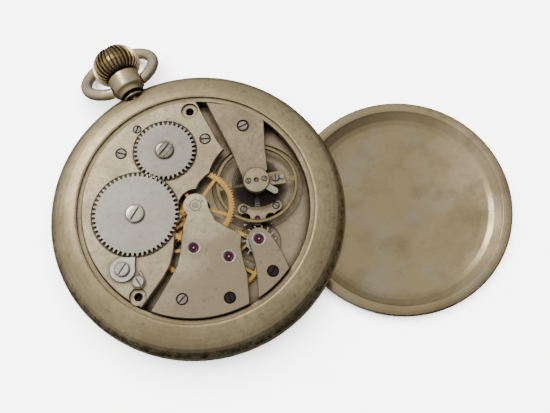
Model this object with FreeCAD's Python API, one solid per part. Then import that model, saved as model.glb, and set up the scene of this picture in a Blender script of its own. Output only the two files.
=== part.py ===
# Crown-wound pocket timekeeper in an open-backed snap case, with its loose back cover.
# Units are millimetres. The watch lies face down: Z is up out of the back, the crown
# points to +Y, and the origin is on the watch axis in the plane of the crystal's flat.
# Heights of the case and movement are given from a case datum, CASE_LIFT above the table.
import FreeCAD, Part
import math
import os

# ---- driving dimensions --------------------------------------------------------------
CASE_R = 26.0            # largest radius of the case
RING_IN_R = 20.6         # opening of the wide ring round the movement
MOVEMENT_R = 19.6        # 17 1/2 ligne movement
CASE_LIFT = 1.4          # how far the domed crystal lifts the case datum off the table
JOINT_Z = 6.2            # joint between bezel and case middle
LEDGE_Z = 9.2            # seat of the back cover
PLATE_BOTTOM_Z = 4.5
PLATE_TOP_Z = 7.3
BRIDGE_Z = 9.0           # underside of the bridges
BRIDGE_TOP_Z = 10.0
CENTER_WHEEL_Z = 9.2      # the centre wheel runs over the balance, in pockets of the bridges
CENTER_WHEEL_TOP_Z = 9.4
POCKET_Z = 9.5            # ceiling of those pockets
STEM_Z = 7.8             # height of the winding stem's axis
COVER_X = 32.7           # where the loose back cover lies
COVER_Y = -15.5
COVER_R = 20.05
CROWN_Y = 29.5
BOW_Y = 27.2             # pivot of the bow in the pendant
BOW_TILT = -36.5         # the bow hangs towards the table
RUN_FIT = 0.04           # radial clearance of a pivot in its hole

BARREL = (-9.7, 3.6)
CENTER = (0.0, 0.0)
THIRD = (-3.75, -6.5)
FOURTH = (0.7, -10.8)
ESCAPE = (6.6, -10.6)
PALLET = (8.3, -6.9)
BALANCE = (11.2, -1.5)
CROWN_WHEEL = (0.0, 11.5)
CLICK = (-15.9, -4.1)
SPRING_SCREW = (-14.5, -7.3)
MINUTE = (0.0, 3.6)
STUD_DEG = -21.0         # direction of the stud arm from the balance
INDEX_DEG = -60.0        # direction of the regulator's tail

# teeth: wheel and the pinion it drives
BARREL_TEETH, CENTER_LEAVES = 72, 16
CENTER_TEETH, THIRD_LEAVES = 80, 10
THIRD_TEETH, FOURTH_LEAVES = 75, 10
FOURTH_TEETH, ESCAPE_LEAVES = 80, 8
RATCHET_TEETH, CROWN_TEETH = 54, 39
CANNON_LEAVES, MINUTE_TEETH = 12, 36
MINUTE_LEAVES, HOUR_TEETH = 10, 40
ESCAPE_TEETH = 15
ESCAPE_R = 3.0
PALLET_LEVEL = (7.78, 8.0)     # underside and top of the pallet fork and its stones

BRIDGE_SCREWS = [(-9.5, -13.4), (7.2, 10.0), (-6.9, 14.9), (-2.4, 17.6), (14.1, 8.7)]
BRIDGE_HEADS = [0.9, 0.9, 0.9, 0.66, 0.9]     # head radii of those screws
DARK_SCREWS = [(-2.5, -17.1), (5.9, -16.7)]
PALLET_SCREWS = [(7.0, -4.3), (12.2, -6.5)]
CASE_SCREWS = [(-15.7, -9.4), (7.3, 16.1)]


# ---- helpers -------------------------------------------------------------------------
def vec(x, y, z):
    return FreeCAD.Vector(x, y, z)


def cyl(at, r, z0, z1):
    return Part.makeCylinder(r, z1 - z0, vec(at[0], at[1], z0))


def ring(at, r_out, r_in, z0, z1):
    return cyl(at, r_out, z0, z1).cut(cyl(at, r_in, z0 - 1, z1 + 1))


def prism(points, z0, z1):
    wire = Part.makePolygon([vec(x, y, z0) for x, y in points] + [vec(points[0][0], points[0][1], z0)])
    return Part.Face(wire).extrude(vec(0, 0, z1 - z0))


def revolve(profile, at=(0.0, 0.0)):
    pts = [vec(at[0] + r, at[1], z) for r, z in profile]
    wire = Part.makePolygon(pts + [pts[0]])
    return Part.Face(wire).revolve(vec(at[0], at[1], 0), vec(0, 0, 1), 360)


def revolve_y(profile, z):
    """Turned part about the crown axis: profile is (radius, y)."""
    pts = [vec(r, y, z) for r, y in profile]
    wire = Part.makePolygon(pts + [pts[0]])
    return Part.Face(wire).revolve(vec(0, 0, z), vec(0, 1, 0), 360)


def polar(at, r, deg):
    a = math.radians(deg)
    return (at[0] + r * math.cos(a), at[1] + r * math.sin(a))


def angle(a, b):
    return math.degrees(math.atan2(b[1] - a[1], b[0] - a[0]))


def dist(a, b):
    return math.hypot(b[0] - a[0], b[1] - a[1])


def pitch_radii(a, b, n_a, n_b):
    d = dist(a, b)
    return d * n_a / (n_a + n_b), d * n_b / (n_a + n_b)


def mesh_phase(a, b, n_a, n_b, phase_a):
    """Tooth angle of gear b so that its gap faces the tooth of gear a."""
    d_ab = angle(a, b)
    offset = (phase_a - d_ab) * n_a / 360.0
    return d_ab + 180 + (360.0 / n_b) * (0.5 - offset)


def tooth_points(at, n, r_pitch, phase, add=0.62, ded=1.15, slim=0.34):
    """Outline of a spur gear with straight-sided teeth and plenty of backlash."""
    m = 2 * r_pitch / n
    step = 360.0 / n
    r_tip = r_pitch + add * m
    r_root = r_pitch - ded * m
    points = []
    for i in range(n):
        c = phase + i * step
        points.append(polar(at, r_root, c - 0.27 * step))
        points.append(polar(at, r_pitch, c - slim / 2 * step))
        points.append(polar(at, r_tip, c - 0.09 * step))
        points.append(polar(at, r_tip, c + 0.09 * step))
        points.append(polar(at, r_pitch, c + slim / 2 * step))
        points.append(polar(at, r_root, c + 0.27 * step))
    return points


def poly_circle(at, r, n, phase=0.0):
    """Regular polygon whose flats touch the circle of radius r."""
    rr = r / math.cos(math.pi / n)
    return [polar(at, rr, phase + i * 360.0 / n) for i in range(n)]


def gear(at, n, r_pitch, phase, z0, z1, bore, add=0.62, ded=1.15):
    body = prism(tooth_points(at, n, r_pitch, phase, add, ded), z0, z1)
    return body.cut(prism(poly_circle(at, bore, 12), z0 - 1, z1 + 1))


def spoked(body, at, r_hub, r_rim, spokes, width, phase, z0, z1):
    """Cut windows between the hub and the rim of a wheel."""
    span = 360.0 / spokes
    for i in range(spokes):
        mid = phase + (i + 0.5) * span
        half_in = span / 2 - math.degrees(math.asin(width / 2 / r_hub))
        half_out = span / 2 - math.degrees(math.asin(width / 2 / r_rim))
        inner = [polar(at, r_hub, mid + half_in * k / 3) for k in range(3, -4, -1)]
        outer = [polar(at, r_rim, mid + half_out * k / 6) for k in range(-6, 7)]
        body = body.cut(prism(inner + outer, z0 - 1, z1 + 1))
    return body


def arbor(at, steps):
    """Stepped round arbor from (radius, z0, z1) lengths."""
    body = cyl(at, *steps[0])
    for step in steps[1:]:
        body = body.fuse(cyl(at, *step))
    return body.removeSplitter()


def screw(at, z_top, r_head, head, r_shank, length, slot_deg, slot=0.28):
    """Slotted screw with a flat chamfered head; its head top is at z_top."""
    z0 = z_top - head
    c = 0.14 * r_head
    profile = [(0, z0), (r_head, z0), (r_head, z_top - c), (r_head - c, z_top), (0, z_top)]
    body = revolve(profile, at).fuse(cyl(at, r_shank, z0 - length, z0))
    corner = vec(at[0] - 2 * r_head, at[1] - slot / 2, z_top - 0.45 * head)
    groove = Part.makeBox(4 * r_head, slot, head, corner)
    groove.rotate(vec(at[0], at[1], 0), vec(0, 0, 1), slot_deg)
    return body.cut(groove)


def recess(body, at, r_head, z_top, head, r_shank, depth):
    """Sunk seat and hole for a screw."""
    body = body.cut(cyl(at, r_head + 0.12, z_top - head, z_top + 2))
    return body.cut(cyl(at, r_shank + 0.01, z_top - head - depth, z_top))


def bevel(body, z, size):
    """Break the upper outline edges of a bridge."""
    edges = []
    for e in body.Edges:
        b = e.BoundBox
        if abs(b.ZMin - z) < 1e-6 and abs(b.ZMax - z) < 1e-6 and e.Length > 1.5:
            edges.append(e)
    try:
        return body.makeChamfer(size, edges)
    except Part.OCCError:
        return body


def save(name, shape, lift=CASE_LIFT):
    placed = shape.copy()
    placed.translate(vec(0, 0, lift))
    placed.exportStep("parts/" + name + ".step")


# ---- gear sizes ----------------------------------------------------------------------
barrel_r, center_pinion_r = pitch_radii(BARREL, CENTER, BARREL_TEETH, CENTER_LEAVES)
center_r, third_pinion_r = pitch_radii(CENTER, THIRD, CENTER_TEETH, THIRD_LEAVES)
third_r, fourth_pinion_r = pitch_radii(THIRD, FOURTH, THIRD_TEETH, FOURTH_LEAVES)
fourth_r, escape_pinion_r = pitch_radii(FOURTH, ESCAPE, FOURTH_TEETH, ESCAPE_LEAVES)
ratchet_r, crown_wheel_r = pitch_radii(BARREL, CROWN_WHEEL, RATCHET_TEETH, CROWN_TEETH)
cannon_r, minute_r = pitch_radii(CENTER, MINUTE, CANNON_LEAVES, MINUTE_TEETH)
minute_pinion_r, hour_r = pitch_radii(MINUTE, CENTER, MINUTE_LEAVES, HOUR_TEETH)

center_pinion_phase = mesh_phase(BARREL, CENTER, BARREL_TEETH, CENTER_LEAVES, 0.0)
third_pinion_phase = mesh_phase(CENTER, THIRD, CENTER_TEETH, THIRD_LEAVES, 0.0)
fourth_pinion_phase = mesh_phase(THIRD, FOURTH, THIRD_TEETH, FOURTH_LEAVES, 0.0)
escape_pinion_phase = mesh_phase(FOURTH, ESCAPE, FOURTH_TEETH, ESCAPE_LEAVES, 0.0)
crown_wheel_phase = mesh_phase(BARREL, CROWN_WHEEL, RATCHET_TEETH, CROWN_TEETH, 0.0)
minute_phase = mesh_phase(CENTER, MINUTE, CANNON_LEAVES, MINUTE_TEETH, 0.0)
hour_phase = mesh_phase(MINUTE, CENTER, MINUTE_LEAVES, HOUR_TEETH, 0.0)


STUD = polar(BALANCE, 4.4, STUD_DEG)
STUD_SCREW = polar(BALANCE, 3.3, STUD_DEG)
CAP_SCREWS = [polar(BALANCE, 1.4, STUD_DEG), polar(BALANCE, 1.4, STUD_DEG + 180)]


# ---- case ----------------------------------------------------------------------------
FLANK = [(25.72, JOINT_Z), (25.62, 6.9), (25.3, 7.55), (24.85, 8.15), (24.3, 8.65), (23.6, 9.05),
         (22.8, 9.36), (22.0, 9.56), (21.3, 9.64), (20.85, 9.6)]


def case_middle():
    profile = [(19.75, 4.95), (20.75, 4.95), (22.1, 4.95), (22.1, JOINT_Z)] + FLANK
    profile += [(RING_IN_R, 9.45), (RING_IN_R, LEDGE_Z), (19.75, LEDGE_Z)]
    body = revolve(profile)
    stem_hole = Part.makeCylinder(1.12, 12, vec(0, 17, STEM_Z), vec(0, 1, 0))
    body = body.cut(stem_hole)
    notch = Part.makeBox(1.2, 4.4, 0.34, vec(-25.9, -2.2, JOINT_Z))
    body = body.cut(notch)
    for at in CASE_SCREWS:
        d = math.hypot(at[0], at[1])
        out = (at[0] * 19.75 / d, at[1] * 19.75 / d)
        body = body.cut(cyl(out, 2.05, LEDGE_Z - 0.35, LEDGE_Z + 0.01).common(
            ring(CENTER, RING_IN_R - 0.05, 19.0, LEDGE_Z - 1, LEDGE_Z + 1)))
    return body


def bezel():
    profile = [(20.75, 3.95), (20.75, 4.9), (22.15, 4.9), (22.15, JOINT_Z), (25.95, JOINT_Z),
               (CASE_R, 5.3), (25.85, 4.6), (25.4, 3.9), (24.7, 3.35), (23.7, 2.95),
               (22.6, 2.75), (21.5, 2.7), (21.0, 2.8), (20.7, 3.0), (20.7, 3.3),
               (21.3, 3.3), (21.3, 3.95)]
    return revolve(profile)


def crystal():
    profile = [(0, -1.4), (8.0, -1.4), (9.6, -1.15), (11.4, -0.5), (13.2, 0.32), (14.8, 1.0),
               (15.8, 1.38), (17.4, 1.92), (19.2, 2.55), (20.6, 3.05), (20.6, 3.34), (21.25, 3.34),
               (21.25, 3.9), (20.2, 3.9), (18.7, 3.4), (16.9, 2.8), (15.0, 2.1), (13.2, 1.38),
               (11.4, 0.5), (9.6, -0.16), (8.0, -0.4), (0, -0.4)]
    return revolve(profile)


def back_cover():
    """Shallow dish, lying with its inside up."""
    profile = [(0, 0.0), (9.0, 0.1), (14.0, 0.32), (17.0, 0.66), (18.6, 1.0), (19.5, 1.36),
               (COVER_R, 1.75), (COVER_R + 0.25, 2.1), (COVER_R + 0.25, 2.4), (COVER_R, 2.6),
               (19.7, 2.8), (19.1, 2.8), (18.85, 2.6), (18.7, 2.0), (18.2, 1.66),
               (17.4, 1.34), (15.8, 1.04), (13.0, 0.77), (9.0, 0.58), (0, 0.5)]
    return revolve(profile, (COVER_X, COVER_Y))


def pendant():
    """Tube for the bow on a waisted neck that saddles the flank of the case."""
    profile = [(0.8, 22.4), (1.1, 22.4), (1.1, 24.15), (1.75, 24.15), (2.0, 24.4), (2.0, 25.05),
               (2.3, 25.15), (2.35, 25.55), (2.5, 25.9), (2.78, 26.2), (2.95, 26.3), (2.95, 29.2),
               (2.78, 29.4), (0.8, 29.4)]
    body = revolve_y(profile, STEM_Z)
    body = body.cut(Part.makeBox(3.3, 0.5, 2.0, vec(-1.65, 24.62, 9.0)))
    shank = Part.makeCylinder(1.1, 5, vec(0, 21.5, STEM_Z), vec(0, 1, 0))
    inside = revolve([(0, 0), (25.72, 0)] + FLANK + [(0, 9.6)])
    body = body.cut(inside.cut(shank))
    body = body.cut(cyl(CENTER, 26.04, -5, JOINT_Z + 0.1))
    for sign in (1, -1):
        pin_hole = Part.makeCylinder(0.62, 1.1, vec(sign * 2.1, BOW_Y, STEM_Z), vec(sign, 0, 0))
        body = body.cut(pin_hole)
    return body


def bow():
    """Wire loop of three arcs whose flat ends pivot on pins in the pendant."""
    r = 1.05
    half = 6.75
    side_x = -0.5
    side_r = half - side_x
    shoulder = (side_r ** 2 - (2.98 - side_x) ** 2) ** 0.5

    def side(x):
        return shoulder - (side_r ** 2 - (x - side_x) ** 2) ** 0.5

    start = vec(2.0, side(2.0), 0)
    right = Part.Arc(start, vec(5.0, side(5.0), 0), vec(half, shoulder, 0)).toShape()
    loop = Part.Arc(vec(half, shoulder, 0), vec(0, shoulder + half, 0), vec(-half, shoulder, 0)).toShape()
    left = right.mirror(vec(0, 0, 0), vec(1, 0, 0))
    path = Part.Wire([right, loop, left])
    along = vec(shoulder - start.y, start.x - side_x, 0)
    section = Part.Wire(Part.makeCircle(r, start, along))
    body = path.makePipeShell([section], True, False)
    body = body.cut(Part.makeBox(5.96, 6, 6, vec(-2.98, -3, -3)))
    for sign in (1, -1):
        body = body.fuse(Part.makeCylinder(0.55, 0.9, vec(sign * 2.2, 0, 0), vec(sign, 0, 0)))
    body.rotate(vec(0, 0, 0), vec(1, 0, 0), BOW_TILT)
    body.translate(vec(0, BOW_Y, STEM_Z))
    return body


def crown():
    """Ribbed onion crown: a turned ball with lengthwise grooves."""
    y = CROWN_Y
    profile = [(0.62, y + 1.6), (0.62, y), (2.6, y), (3.3, y + 0.15), (3.95, y + 0.6), (4.33, y + 1.25),
               (4.45, y + 2.0), (4.38, y + 2.9), (4.08, y + 3.8), (3.55, y + 4.6), (2.85, y + 5.25),
               (2.0, y + 5.7), (1.1, y + 5.93), (0, y + 6.0), (0, y + 1.6)]
    body = revolve_y(profile, STEM_Z)
    ribs = 30
    for i in range(ribs):
        a = 2 * math.pi * i / ribs
        x = 4.72 * math.cos(a)
        z = STEM_Z + 4.72 * math.sin(a)
        body = body.cut(Part.makeCylinder(0.48, 6.1, vec(x, y - 0.2, z), vec(0, 1, 0)))
    return body


# ---- plates and bridges ---------------------------------------------------------------
def main_plate():
    body = cyl(CENTER, 19.68, PLATE_BOTTOM_Z, PLATE_TOP_Z)
    body = body.fuse(cyl(CENTER, 20.6, PLATE_BOTTOM_Z, 4.9))
    body = body.cut(cyl(CENTER, 7.4, 4.0, 5.6))
    body = body.cut(cyl(BARREL, 8.8, 5.7, 9))
    body = body.cut(cyl(BALANCE, 8.0, 7.0, 9))
    body = body.cut(cyl(ESCAPE, 3.75, 7.1, 9))
    body = body.cut(cyl(BARREL, 1.05, 4.9, 6))
    slot = Part.makeBox(4.6, 5.2, 6, vec(-2.3, 12.9, 5.7))
    body = body.cut(slot)
    body = body.cut(Part.makeCylinder(0.85, 22, vec(0, 8, STEM_Z), vec(0, 1, 0)))
    body = body.cut(cyl(CENTER, 0.6, 4, 9))
    body = body.cut(cyl(CENTER, 2.35, 6.9, 9))
    body = body.cut(cyl(THIRD, 0.5, 6.95, 9))
    body = body.cut(cyl(ESCAPE, 0.5, 6.85, 9))
    body = body.cut(cyl(THIRD, 0.16 + RUN_FIT, 6.4, 9))
    body = body.cut(cyl(FOURTH, 0.30 + RUN_FIT, 4, 9))
    body = body.cut(cyl(ESCAPE, 0.16 + RUN_FIT, 6.3, 9))
    body = body.cut(cyl(PALLET, 0.16 + RUN_FIT, 6.3, 9))
    body = body.cut(cyl(BALANCE, 0.14 + RUN_FIT, 6.0, 9))
    body = body.cut(cyl(BALANCE, 2.2, 6.8, 9))
    body = body.fuse(cyl(MINUTE, 0.42, 4.62, 5.7)).removeSplitter()
    for at in BRIDGE_SCREWS + DARK_SCREWS:
        body = body.cut(cyl(at, 0.56, 5.8, 9))
    for at in PALLET_SCREWS:
        body = body.cut(cyl(at, 0.36, 5.8, 9))
    for at in CASE_SCREWS:
        body = body.cut(cyl(at, 0.76, 5.4, 9))
    return body


def outline_bridge(points, z0=BRIDGE_Z, z1=BRIDGE_TOP_Z):
    return prism(points, z0, z1).common(cyl(CENTER, MOVEMENT_R, z0 - 1, z1 + 1))


def foot(points, screws, r):
    """Supports between the plate and a bridge: screw pillars that keep inside the outline."""
    area = prism(points, PLATE_TOP_Z, BRIDGE_Z).common(cyl(CENTER, MOVEMENT_R, 0, 12))
    body = None
    for at in screws:
        pillar = cyl(at, r, PLATE_TOP_Z, BRIDGE_Z).common(area)
        body = pillar if body is None else body.fuse(pillar)
    return body


def arc_points(at, r, a0, a1, n):
    return [polar(at, r, a0 + (a1 - a0) * i / n) for i in range(n + 1)]


def barrel_bridge():
    points = [(-16.6, -11.6), (-10.6, -8.6), (-8.6, -7.2), (-7.1, -5.5), (-5.9, -3.6), (-4.8, -1.4)]
    points += arc_points(CENTER, 3.0, 195, 60, 9)
    points += [(2.9, 3.6), (3.8, 3.9)]
    points += arc_points(BALANCE, 8.5, 139, 104, 8)
    points += [(8.9, 8.4), (9.1, 16.9), (8.0, 19.0), (0, 20.5),
               (-14, 16), (-20.5, 4), (-20.5, -6)]
    body = outline_bridge(points)
    wall = ring(CENTER, MOVEMENT_R, 19.12, PLATE_TOP_Z, BRIDGE_Z)
    body = body.fuse(wall.common(prism(points, PLATE_TOP_Z, BRIDGE_Z)))
    body = body.fuse(foot(points, [(7.2, 10.0), (-6.9, 14.9), (-2.9, 17.8), (4.6, 17.2)], 1.25))
    body = body.removeSplitter()
    body = bevel(body, BRIDGE_TOP_Z, 0.12)
    body = body.cut(cyl(BARREL, ratchet_r + 0.45, 9.7, 12))
    body = body.cut(cyl(CROWN_WHEEL, crown_wheel_r + 0.45, 9.7, 12))
    body = body.cut(cyl(CENTER, center_r + 0.45, 8, POCKET_Z))
    body = body.cut(cyl(BARREL, 1.5 + RUN_FIT, 8, 12))
    body = body.cut(cyl(CLICK, 0.5, 8, 12))
    body = body.cut(Part.makeBox(4.2, 3.0, 3, vec(-2.1, 13.6, 8.2)))
    body = body.cut(Part.makeCylinder(0.85, 22, vec(0, 8, STEM_Z), vec(0, 1, 0)))
    for at, head in list(zip(BRIDGE_SCREWS, BRIDGE_HEADS))[1:4]:
        body = recess(body, at, head + 0.02, BRIDGE_TOP_Z + 0.05, 0.5, 0.55, 4)
    body = body.cut(cyl(SPRING_SCREW, 0.42, 8, 12))
    for at in CASE_SCREWS:
        body = body.cut(cyl(at, 1.5, 8, 12))
    return body.cut(cyl(CROWN_WHEEL, 0.56, 8.0, 12))


def train_bridge():
    points = arc_points(CENTER, 2.1, 200, -30, 10)
    points += [(1.75, -4.1), (2.9, -6.2), (4.2, -8.0), (4.1, -9.1), (3.2, -10.4), (2.6, -12.4), (1.9, -15.2),
               (-0.5, -20.5), (-14.8, -16.5), (-15.4, -12.9), (-9.5, -9.2), (-7.6, -7.9), (-6.1, -6.1),
               (-4.8, -4.2), (-3.5, -2.1)]
    body = outline_bridge(points)
    body = body.fuse(foot(points, [BRIDGE_SCREWS[0], DARK_SCREWS[0]], 1.5)).removeSplitter()
    body = bevel(body, BRIDGE_TOP_Z, 0.12)
    body = recess(body, BRIDGE_SCREWS[0], 0.92, BRIDGE_TOP_Z + 0.05, 0.5, 0.55, 4)
    body = recess(body, DARK_SCREWS[0], 0.92, BRIDGE_TOP_Z + 0.05, 0.5, 0.55, 4)
    for at in (THIRD, FOURTH):
        body = body.cut(cyl(at, 1.22, BRIDGE_Z - 1, BRIDGE_TOP_Z + 1))
    body = body.cut(cyl(CENTER, center_r + 0.45, 8, POCKET_Z))
    body = body.cut(ring(CENTER, 1.02, 0.9, 9.85, 12))
    return body.cut(cyl(CENTER, 0.5 + RUN_FIT, 8, 12))


def escape_cock():
    tip = arc_points(ESCAPE, 1.9, 150, -20, 9)
    points = tip + [(8.8, -11.6), (8.9, -14.5), (8.5, -18.4), (1.0, -20.5)]
    points += [(2.7, -17.2), (3.8, -14.6), (4.4, -12.5)]
    body = outline_bridge(points)
    body = body.fuse(foot(points, [DARK_SCREWS[1]], 1.9)).removeSplitter()
    body = bevel(body, BRIDGE_TOP_Z, 0.12)
    body = recess(body, DARK_SCREWS[1], 0.92, BRIDGE_TOP_Z + 0.05, 0.5, 0.55, 4)
    return body.cut(cyl(ESCAPE, 1.22, BRIDGE_Z - 1, BRIDGE_TOP_Z + 1))


def balance_cock():
    points = [(10.6, 15.9), (14.6, 13.0), (16.6, 10.0), (17.8, 7.9), (15.5, 3.2), (13.85, -0.6)]
    points += arc_points(BALANCE, 2.3, 20, -200, 14)
    points += [(9.4, 0.3), (10.1, 5.9)]
    body = prism(points, 9.75, 10.45).common(cyl(CENTER, MOVEMENT_R, 0, 12))
    end = [polar(BALANCE, 4.9, STUD_DEG + 15), polar(BALANCE, 5.13, STUD_DEG + 11),
           polar(BALANCE, 5.13, STUD_DEG - 11), polar(BALANCE, 4.9, STUD_DEG - 15)]
    arm = prism([polar(BALANCE, 1.7, 22)] + end + [polar(BALANCE, 1.7, -64)], 9.75, 10.45)
    body = body.fuse(arm)
    foot_points = [(10.6, 15.9), (17.8, 7.9), (17.1, 6.4), (10.15, 6.4)]
    body = body.fuse(prism(foot_points, PLATE_TOP_Z, 9.75).common(cyl(CENTER, MOVEMENT_R, 0, 12)))
    body = bevel(body.removeSplitter(), 10.45, 0.1)
    body = recess(body, BRIDGE_SCREWS[4], 1.0, 10.5, 0.5, 0.55, 4)
    body = body.cut(cyl(BALANCE, 0.14 + RUN_FIT, 8, 12))
    body = body.cut(cyl(BALANCE, 0.9, 10.2, 12))
    for at in CAP_SCREWS + [STUD_SCREW]:
        body = body.cut(cyl(at, 0.24, 9.0, 12))
    return body.cut(cyl(STUD, 0.3, 8, 12))


def pallet_bridge():
    points = arc_points(PALLET_SCREWS[0], 1.0, 60, 240, 8)
    points += [(7.2, -7.6)] + arc_points(PALLET, 1.25, 215, 300, 4) + [(10.2, -8.0)]
    points += arc_points(PALLET_SCREWS[1], 1.0, 250, 400, 8)
    points += [(10.6, -5.7), (9.4, -5.4), (8.3, -4.6)]
    body = prism(points, 8.15, 8.5)
    for at in PALLET_SCREWS:
        body = body.fuse(cyl(at, 0.75, 7.0, 8.15))
    body = body.removeSplitter()
    for at in PALLET_SCREWS:
        body = recess(body, at, 0.55, 8.55, 0.3, 0.35, 3)
    for r, deg in ((2.15, 151), (2.35, -29)):
        body = body.cut(cyl(polar(PALLET, r, deg), 0.95, 8.1, 9))
    return body.cut(cyl(PALLET, 0.5, 8, 9))


# ---- winding work ----------------------------------------------------------------------
def winding_stem():
    body = Part.makeCylinder(0.55, 13.4, vec(0, 12.0, STEM_Z), vec(0, 1, 0))
    square = Part.makeBox(0.7, 3.0, 0.7, vec(-0.35, 9.1, STEM_Z - 0.35))
    tail = Part.makeCylinder(0.75, 2.0, vec(0, 23.4, STEM_Z), vec(0, 1, 0))
    body = body.fuse(square).fuse(tail).removeSplitter()
    bore = Part.makeBox(0.66, 2.4, 0.66, vec(-0.33, 23.1, STEM_Z - 0.33))
    return body.cut(bore)


def crown_stem():
    body = Part.makeCylinder(0.6, 4.95, vec(0, 25.55, STEM_Z), vec(0, 1, 0))
    square = Part.makeBox(0.6, 2.1, 0.6, vec(-0.3, 23.5, STEM_Z - 0.3))
    return body.fuse(square).removeSplitter()


def winding_pinion():
    points = tooth_points((0, 0), 18, 1.6, 0.0, 0.9, 1.2)
    body = prism(points, 0, 2.4)
    body = body.cut(prism(poly_circle((0, 0), 0.57, 12), -1, 4))
    body.rotate(vec(0, 0, 0), vec(1, 0, 0), -90)
    body.translate(vec(0, 13.8, STEM_Z))
    return body


def ratchet_wheel():
    body = gear(BARREL, RATCHET_TEETH, ratchet_r, 0.0, 9.75, 10.35, 1.0, 0.7, 1.55)
    return body


def crown_wheel():
    body = gear(CROWN_WHEEL, CROWN_TEETH, crown_wheel_r, crown_wheel_phase, 9.75, 10.35, 1.05, 0.7, 1.55)
    return body


def wheel_screw(at, core_r, z_low, slot_deg, side_grooves=False):
    """Domed centre screw of a winding wheel, with its shouldered stud."""
    profile = [(0, z_low), (core_r, z_low), (core_r, 10.4), (1.62, 10.4), (1.62, 10.55), (1.45, 10.72),
               (1.0, 10.8), (0, 10.82)]
    body = revolve(profile, at)
    groove = Part.makeBox(4, 0.36, 0.3, vec(at[0] - 2, at[1] - 0.18, 10.6))
    groove.rotate(vec(at[0], at[1], 0), vec(0, 0, 1), slot_deg)
    body = body.cut(groove)
    if side_grooves:
        for offset in (-0.8, 0.8):
            groove = Part.makeBox(4, 0.12, 0.3, vec(at[0] - 2, at[1] + offset - 0.06, 10.6))
            groove.rotate(vec(at[0], at[1], 0), vec(0, 0, 1), slot_deg)
            body = body.cut(groove)
    return body


def barrel_arbor():
    body = arbor(BARREL, [(0.98, 5.0, 5.8), (1.6, 5.95, 7.05), (1.46, 7.05, 9.73)])
    body = body.fuse(cyl(BARREL, 0.95, 5.7, 6.0))
    body = body.fuse(prism(poly_circle(BARREL, 0.95, 12, 0.0), 9.73, 10.38))
    return body.cut(cyl(BARREL, 0.62, 8.4, 11)).removeSplitter()


def barrel_drum():
    body = gear(BARREL, BARREL_TEETH, barrel_r, 0.0, 7.1, 7.7, 1.52)
    body = body.fuse(ring(BARREL, 8.1, 7.6, 5.85, 7.1))
    body = body.fuse(ring(BARREL, 8.1, 1.1, 5.82, 5.92))
    return body.removeSplitter()


def mainspring():
    """Wound ribbon between the barrel core and wall."""
    turns = 6
    n = turns * 24
    outer = []
    inner = []
    for i in range(n + 1):
        a = 360.0 * i / 24
        r = 1.75 + 5.6 * i / n
        outer.append(polar(BARREL, r + 0.1, a))
        inner.append(polar(BARREL, r - 0.1, a))
    return prism(outer + inner[::-1], 6.05, 7.0)


def click():
    """Pawl: a round body with a short beak standing just clear of the ratchet teeth."""
    d = angle(CLICK, BARREL)
    base = angle(BARREL, CLICK)
    body = cyl(CLICK, 2.1, 10.05, 10.45)
    beak = [polar(CLICK, 2.0, d + 15), polar(BARREL, ratchet_r + 0.34, base + 8.0),
            polar(BARREL, ratchet_r + 0.34, base + 12.5), polar(CLICK, 2.0, d - 75)]
    body = body.fuse(prism(beak, 10.05, 10.45)).removeSplitter()
    return body.cut(cyl(CLICK, 0.8, 9, 12))


def click_spring():
    """Bent spring foot held by its own screw next to the click."""
    body = cyl(SPRING_SCREW, 1.15, 10.02, 10.3)
    body = body.fuse(Part.makeBox(0.3, 2.0, 0.28, vec(SPRING_SCREW[0] + 0.8, SPRING_SCREW[1], 10.02)))
    return body.removeSplitter().cut(cyl(SPRING_SCREW, 0.45, 9, 12))


# ---- going train ------------------------------------------------------------------------
def center_arbor():
    body = arbor(CENTER, [(0.5, 3.0, 7.0), (1.2, 7.0, 7.05), (0.9, 7.75, CENTER_WHEEL_Z),
                          (1.1, CENTER_WHEEL_Z, CENTER_WHEEL_TOP_Z), (0.5, CENTER_WHEEL_TOP_Z, 10.05)])
    body = body.fuse(cyl(CENTER, 1.2, 7.7, 7.8))
    leaves = tooth_points(CENTER, CENTER_LEAVES, center_pinion_r, center_pinion_phase)
    return body.fuse(prism(leaves, 7.05, 7.75))


def pinion_arbor(at, leaves, r_pitch, phase, z0, z1, z_low, z_high, r_body, r_pivot, seat):
    """Arbor with pinion leaves; seat is the (z0, z1) length the wheel is pressed on."""
    body = cyl(at, r_body, z_low + 0.3, z_high - 0.55)
    body = body.fuse(cyl(at, r_pivot, z_low, z_high))
    body = body.fuse(prism(tooth_points(at, leaves, r_pitch, phase), z0, z1))
    hub = prism(poly_circle(at, 0.5, 12), seat[0], seat[1])
    return body.fuse(hub)


def train_wheel(at, teeth, r_pitch, phase, z0, z1, bore, spokes, hub, width):
    body = gear(at, teeth, r_pitch, phase, z0, z1, bore)
    return spoked(body, at, hub, r_pitch - 0.75, spokes, width, 12.0, z0, z1)


def center_wheel():
    z0, z1 = CENTER_WHEEL_Z, CENTER_WHEEL_TOP_Z
    body = gear(CENTER, CENTER_TEETH, center_r, 0.0, z0, z1, 1.12)
    return spoked(body, CENTER, 1.9, center_r - 0.95, 5, 0.55, 27.0, z0, z1)


def escape_wheel():
    """Club-toothed wheel of the lever escapement."""
    points = []
    step = 360.0 / ESCAPE_TEETH
    for i in range(ESCAPE_TEETH):
        c = i * step
        points += [polar(ESCAPE, 2.2, c - 0.3 * step), polar(ESCAPE, 2.2, c - 0.02 * step),
                   polar(ESCAPE, 2.82, c + 0.12 * step), polar(ESCAPE, ESCAPE_R, c + 0.3 * step),
                   polar(ESCAPE, ESCAPE_R - 0.12, c + 0.36 * step), polar(ESCAPE, 2.35, c + 0.14 * step)]
    body = prism(points, 7.8, 8.0).cut(prism(poly_circle(ESCAPE, 0.52, 12), 7, 9))
    return spoked(body, ESCAPE, 0.95, 1.85, 4, 0.35, 20.0, 7.8, 8.0)


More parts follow.
